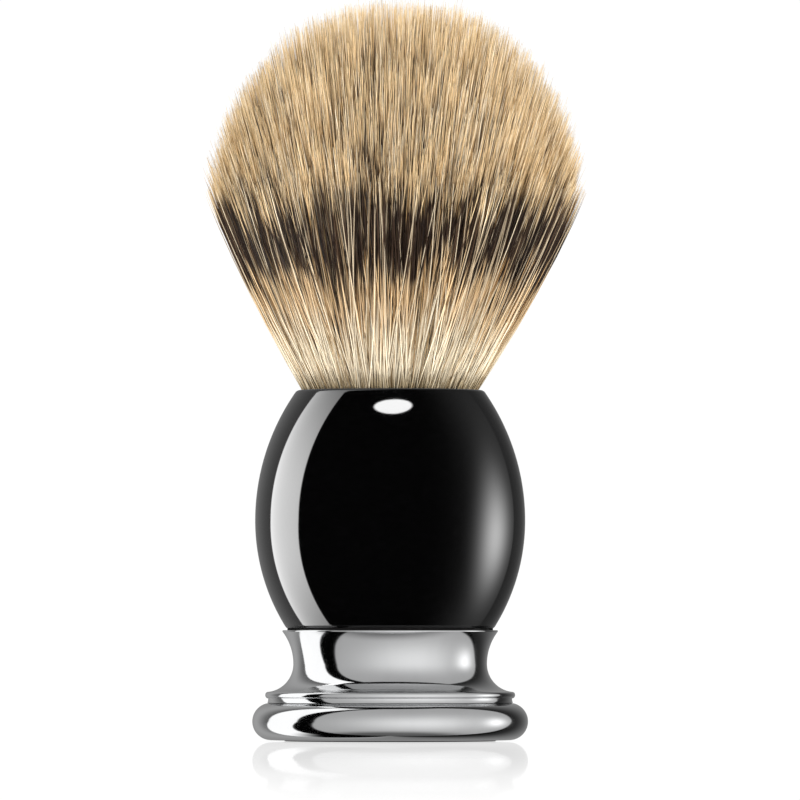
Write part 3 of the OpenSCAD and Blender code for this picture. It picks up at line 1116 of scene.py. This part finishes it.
def studio_world(look):
    """Even daylight for matt surfaces and a white surround for the eye; gloss mirrors the domes."""
    world = bpy.data.worlds.new("Studio")
    bpy.context.scene.world = world
    world.use_nodes = True
    tree = world.node_tree
    tree.nodes.clear()
    output = tree.nodes.new("ShaderNodeOutputWorld")
    rays = tree.nodes.new("ShaderNodeLightPath")
    last = None
    for ray, colour, strength in (
        (None, (1.0, 0.995, 0.985, 1.0), look.daylight),
        ("Is Glossy Ray", (1.0, 1.0, 1.0, 1.0), 0.0),
        ("Is Camera Ray", (1.0, 1.0, 1.0, 1.0), EYE_WHITE),
    ):
        light = tree.nodes.new("ShaderNodeBackground")
        light.inputs["Color"].default_value = colour
        light.inputs["Strength"].default_value = strength
        if ray is None:
            last = light
            continue
        mix = tree.nodes.new("ShaderNodeMixShader")
        tree.links.new(rays.outputs[ray], mix.inputs["Fac"])
        tree.links.new(last.outputs[0], mix.inputs[1])
        tree.links.new(light.outputs[0], mix.inputs[2])
        last = mix
    tree.links.new(last.outputs[0], output.inputs["Surface"])


class BRUSH_OT_stage(bpy.types.Operator):
    """Set the pale floor, the soft panels and the camera"""

    bl_idname = "brush.stage"
    bl_label = "Stage"

    def execute(self, context):
        look = context.scene.brush_stage
        studio_world(look)
        mesh = bpy.data.meshes.new("floor")
        half = FLOOR_HALF
        corners = [(-half, -half, 0), (half, -half, 0), (half, half, 0), (-half, half, 0)]
        mesh.from_pydata(corners, [], [(0, 1, 2, 3)])
        mesh.materials.append(floor_material(look))
        floor = put("floor", mesh)
        floor.location.z = -FLOOR_SINK
        floor.visible_glossy = False
        floor.visible_shadow = False
        floor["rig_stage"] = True

        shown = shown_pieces()
        chrome = group("mirrors_in_chrome", [p for p in shown if p.get("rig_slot") == "chrome"])
        resin = group("mirrors_in_resin", [p for p in shown if p.get("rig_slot") == "black_resin"])
        hair = group("light_on_hair", [p for p in shown if p.get("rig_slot") == "hair"])
        key = look.key
        far = LAMP_DISTANCE
        lamp("key_left", around(52, 16, far), 0.07, 0.5, 0.5, 6.0 * key, hair)
        lamp("fill_right", around(-55, 8, far), 0.07, 0.5, 0.5, 5.8 * key, hair)
        lamp("low_front", around(0, -24, far), 0.06, 0.6, 0.3, 4.3 * key, hair)
        lamp("edge_right", around(-110, 12, far), 0.08, 0.5, 0.5, 2.8 * key, hair)

        resin_dome(resin, look.strips)
        chrome_dome(chrome, look.strips)
        floor_dome(group("mirrors_in_floor", [floor]))

        data = bpy.data.cameras.new("camera")
        data.sensor_width = 36.0
        data.lens = data.sensor_width * look.camera_distance / look.view_width
        data.clip_start = 0.05
        data.clip_end = 60.0
        camera = bpy.data.objects.new("camera", data)
        camera.location = (look.camera_side, -look.camera_distance, look.camera_height)
        aim = Vector((look.camera_side, 0.0, look.aim_height))
        camera.rotation_euler = (aim - camera.location).to_track_quat("-Z", "Y").to_euler()
        context.scene.collection.objects.link(camera)
        context.scene.camera = camera
        context.scene.view_settings.view_transform = "Standard"
        return {"FINISHED"}


class BRUSH_PT_panel(bpy.types.Panel):
    bl_idname = "BRUSH_PT_panel"
    bl_label = "Shaving Brush"
    bl_space_type = "VIEW_3D"
    bl_region_type = "UI"
    bl_category = "Brush"

    def draw(self, context):
        for name in SETTINGS:
            box = self.layout.box()
            box.operator(name.replace("_", "."))
            settings = getattr(context.scene, name)
            for key in settings.bl_rna.properties.keys():
                if key not in ("rna_type", "name"):
                    box.prop(settings, key)


# Each group of settings has the name of the operator that reads it
SETTINGS = {
    "brush_handle": HandleSettings,
    "brush_base": BaseSettings,
    "brush_core": CoreSettings,
    "brush_tuft": TuftSettings,
    "brush_stage": StageSettings,
}

CLASSES = (
    *SETTINGS.values(),
    BRUSH_OT_handle,
    BRUSH_OT_base,
    BRUSH_OT_core,
    BRUSH_OT_tuft,
    BRUSH_OT_stage,
    BRUSH_PT_panel,
)


def register():
    for each in CLASSES:
        bpy.utils.register_class(each)
    for name, settings in SETTINGS.items():
        setattr(bpy.types.Scene, name, PointerProperty(type=settings))


def unregister():
    for name in SETTINGS:
        delattr(bpy.types.Scene, name)
    for each in reversed(CLASSES):
        bpy.utils.unregister_class(each)


def main():
    register()
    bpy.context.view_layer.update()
    bpy.ops.brush.handle()
    bpy.ops.brush.base()
    bpy.ops.brush.core()
    bpy.ops.brush.tuft()
    bpy.ops.brush.stage()


if __name__ == "__main__":
    main()
